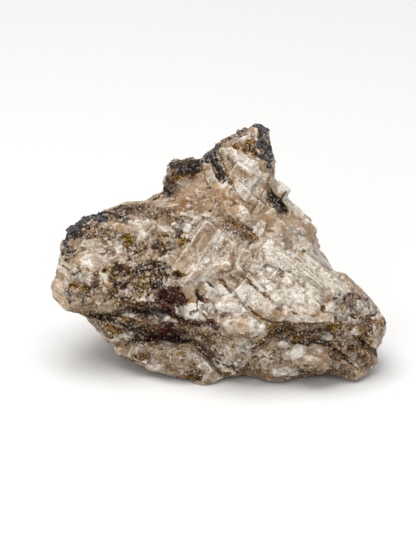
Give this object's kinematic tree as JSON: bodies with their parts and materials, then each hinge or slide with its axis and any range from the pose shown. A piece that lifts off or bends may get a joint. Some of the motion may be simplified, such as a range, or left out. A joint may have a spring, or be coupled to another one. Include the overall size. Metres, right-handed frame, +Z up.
{
  "type": "quartz with hematite specimen",
  "caption": "Craggy hand specimen of massive quartz with black hematite and rusty stains, one leaning peak, cleaved blocks, deep crevices and a flat broken base to stand on.",
  "frame": {"origin": "centre of the bounding box seen from above, at the height of the flat broken base", "axes": "+Z up, +X to the right along the longest side, the show face looks toward -Y and leans back"},
  "size_m": [0.1118, 0.0666, 0.078],
  "materials": {
    "quartz_hematite": "rough broken quartz, milky to beige with flat glassy cleavages, black granular hematite and yellow-brown stains"
  },
  "bodies": {
    "root": {"quartz_hematite_rock": "quartz_hematite"}
  },
  "joints": []
}
